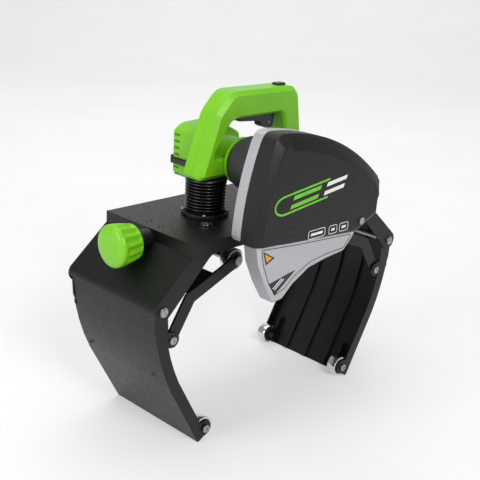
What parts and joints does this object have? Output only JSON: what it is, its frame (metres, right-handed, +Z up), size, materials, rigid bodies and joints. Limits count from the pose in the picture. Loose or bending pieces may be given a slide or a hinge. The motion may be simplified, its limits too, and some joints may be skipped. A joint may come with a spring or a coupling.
{
  "type": "pipe cutting saw",
  "caption": "Portable orbital pipe cutting saw: hinged jaws with bearing rollers clamp round a pipe by a side knob, and a guarded electric saw head plunges into its wall",
  "frame": {"origin": "bottom centre of the whole object at rest", "axes": "+Z up, blade and guard on the -Y side, jaws opening along X, clamping knob towards -X"},
  "size_m": [0.562, 0.2838, 0.529],
  "materials": {
    "black_steel": "matte powder coat",
    "zinc_steel": "zinc plated",
    "bearing_steel": "ground",
    "green_plastic": "satin moulded",
    "black_plastic": "fine texture",
    "black_rubber": "semi gloss",
    "grey_casting": "painted casting",
    "silver_paint": "silver paint",
    "blade_steel": "ground"
  },
  "bodies": {
    "frame": {"frame_shell": "black_steel", "left_pivot_pin": "zinc_steel", "right_pivot_pin": "zinc_steel", "knob_collar": "black_steel", "screw_end_bearing": "black_steel", "hinge_bracket": "black_steel", "hinge_pin": "zinc_steel", "bellows_base": "black_plastic", "bellows": "black_rubber", "return_spring": "zinc_steel"},
    "adjuster": {"adjust_screw": "zinc_steel", "adjust_knob": "green_plastic"},
    "saw_head": {"handle_front_shell": "green_plastic", "handle_rear_shell": "green_plastic", "switch_module": "black_plastic", "gear_case": "grey_casting", "motor_housing": "green_plastic", "bumper_band": "black_rubber", "cord_inlet": "black_rubber", "stator": "zinc_steel", "rotor_front_bearing": "bearing_steel", "rotor_rear_bearing": "bearing_steel", "spindle_bearing": "bearing_steel", "guard_back_plate": "silver_paint", "guard_cover": "black_plastic", "guard_pivot_bolt": "zinc_steel"},
    "lower_guard": {"lower_guard": "silver_paint"},
    "spindle": {"spindle": "zinc_steel", "spindle_gear": "zinc_steel", "inner_blade_flange": "zinc_steel", "outer_blade_flange": "zinc_steel", "blade": "blade_steel", "blade_nut": "zinc_steel"},
    "rotor": {"rotor": "zinc_steel", "fan": "black_plastic"},
    "trigger": {"trigger": "black_plastic"},
    "lock_off_button": {"lock_off_button": "black_plastic"},
    "left_carriage": {"left_nut_carriage": "zinc_steel"},
    "left_link": {"left_link_frame": "black_steel"},
    "left_jaw": {"left_jaw": "black_steel", "left_front_tip_axle": "zinc_steel", "left_rear_tip_axle": "zinc_steel", "left_front_link_bolt": "zinc_steel", "left_rear_link_bolt": "zinc_steel"},
    "right_carriage": {"right_nut_carriage": "zinc_steel"},
    "right_link": {"right_link_frame": "black_steel"},
    "right_jaw": {"right_jaw": "black_steel", "right_front_tip_axle": "zinc_steel", "right_rear_tip_axle": "zinc_steel", "right_front_link_bolt": "zinc_steel", "right_rear_link_bolt": "zinc_steel"},
    "left_front_tip_roller": {"left_front_tip_roller": "bearing_steel"},
    "left_rear_tip_roller": {"left_rear_tip_roller": "bearing_steel"},
    "left_front_wheel": {"left_front_wheel": "bearing_steel"},
    "left_rear_wheel": {"left_rear_wheel": "bearing_steel"},
    "right_front_tip_roller": {"right_front_tip_roller": "bearing_steel"},
    "right_rear_tip_roller": {"right_rear_tip_roller": "bearing_steel"},
    "right_front_wheel": {"right_front_wheel": "bearing_steel"},
    "right_rear_wheel": {"right_rear_wheel": "bearing_steel"}
  },
  "joints": [
    {"name": "adjust_spin", "type": "hinge", "parent": "frame", "child": "adjuster", "pos_m": [0, 0.0353, 0.316], "axis": [1, 0, 0], "range_deg": [-550, 2490]},
    {"name": "left_nut_slide", "type": "slide", "parent": "frame", "child": "left_carriage", "axis": [1, 0, 0], "range_m": [-0.0091, 0.0414]},
    {"name": "left_link_swing", "type": "hinge", "parent": "left_carriage", "child": "left_link", "pos_m": [-0.112, 0.0353, 0.286], "axis": [0, 1, 0], "range_deg": [-2.2, 9.6]},
    {"name": "left_jaw_swing", "type": "hinge", "parent": "frame", "child": "left_jaw", "pos_m": [-0.265, 0.0353, 0.244], "axis": [0, -1, 0], "range_deg": [-8.1, 36.1]},
    {"name": "right_nut_slide", "type": "slide", "parent": "frame", "child": "right_carriage", "axis": [-1, 0, 0], "range_m": [-0.0095, 0.042]},
    {"name": "right_link_swing", "type": "hinge", "parent": "right_carriage", "child": "right_link", "pos_m": [0.112, 0.0353, 0.286], "axis": [0, -1, 0], "range_deg": [-2.2, 9.6]},
    {"name": "right_jaw_swing", "type": "hinge", "parent": "frame", "child": "right_jaw", "pos_m": [0.265, 0.0353, 0.244], "axis": [0, 1, 0], "range_deg": [-8.1, 36.1]},
    {"name": "left_front_tip_roller_spin", "type": "hinge", "parent": "left_jaw", "child": "left_front_tip_roller", "pos_m": [-0.1685, -0.05275, 0.02], "axis": [0, 1, 0], "continuous": true},
    {"name": "left_rear_tip_roller_spin", "type": "hinge", "parent": "left_jaw", "child": "left_rear_tip_roller", "pos_m": [-0.1685, 0.12335, 0.02], "axis": [0, 1, 0], "continuous": true},
    {"name": "left_front_wheel_spin", "type": "hinge", "parent": "left_carriage", "child": "left_front_wheel", "pos_m": [-0.112, -0.04755, 0.286], "axis": [0, 1, 0], "continuous": true},
    {"name": "left_rear_wheel_spin", "type": "hinge", "parent": "left_carriage", "child": "left_rear_wheel", "pos_m": [-0.112, 0.11815, 0.286], "axis": [0, 1, 0], "continuous": true},
    {"name": "right_front_tip_roller_spin", "type": "hinge", "parent": "right_jaw", "child": "right_front_tip_roller", "pos_m": [0.1685, -0.05275, 0.02], "axis": [0, 1, 0], "continuous": true},
    {"name": "right_rear_tip_roller_spin", "type": "hinge", "parent": "right_jaw", "child": "right_rear_tip_roller", "pos_m": [0.1685, 0.12335, 0.02], "axis": [0, 1, 0], "continuous": true},
    {"name": "right_front_wheel_spin", "type": "hinge", "parent": "right_carriage", "child": "right_front_wheel", "pos_m": [0.112, -0.04755, 0.286], "axis": [0, 1, 0], "continuous": true},
    {"name": "right_rear_wheel_spin", "type": "hinge", "parent": "right_carriage", "child": "right_rear_wheel", "pos_m": [0.112, 0.11815, 0.286], "axis": [0, 1, 0], "continuous": true},
    {"name": "plunge", "type": "hinge", "parent": "frame", "child": "saw_head", "pos_m": [0.15, 0.03505, 0.359], "axis": [0, -1, 0], "range_deg": [0, 8], "stiffness_Nm_per_rad": 60, "springref_deg": -20.05, "deforming": ["bellows", "return_spring"]},
    {"name": "lower_guard_swing", "type": "hinge", "parent": "saw_head", "child": "lower_guard", "pos_m": [0.083, -0.12045, 0.334], "axis": [0, 1, 0], "range_deg": [0, 12], "stiffness_Nm_per_rad": 1, "springref_deg": -51.57},
    {"name": "spindle_spin", "type": "hinge", "parent": "saw_head", "child": "spindle", "pos_m": [-0.044, -0.08845, 0.391], "axis": [0, 1, 0], "continuous": true},
    {"name": "rotor_spin", "type": "hinge", "parent": "saw_head", "child": "rotor", "pos_m": [-0.044, 0.02155, 0.421], "axis": [0, 1, 0], "continuous": true},
    {"name": "trigger_pull", "type": "hinge", "parent": "saw_head", "child": "trigger", "pos_m": [0.036, 0.03505, 0.498], "axis": [0, 1, 0], "range_deg": [0, 4], "stiffness_Nm_per_rad": 2, "springref_deg": -2.86},
    {"name": "lock_off_press", "type": "slide", "parent": "saw_head", "child": "lock_off_button", "axis": [0, 0, -1], "range_m": [0, 0.0025], "stiffness_N_per_m": 900, "springref_m": -0.001}
  ],
  "couplings": [
    {"joint": "adjust_spin", "follows": "left_nut_slide", "rad_per_m": 1047.2},
    {"joint": "left_link_swing", "follows": "left_nut_slide", "rad_per_m": 3.9314},
    {"joint": "left_jaw_swing", "follows": "left_nut_slide", "rad_per_m": 15.103},
    {"joint": "right_nut_slide", "follows": "left_nut_slide", "ratio": 1},
    {"joint": "right_link_swing", "follows": "left_nut_slide", "rad_per_m": 3.9314},
    {"joint": "right_jaw_swing", "follows": "left_nut_slide", "rad_per_m": 15.103},
    {"joint": "rotor_spin", "follows": "spindle_spin", "ratio": -3}
  ]
}
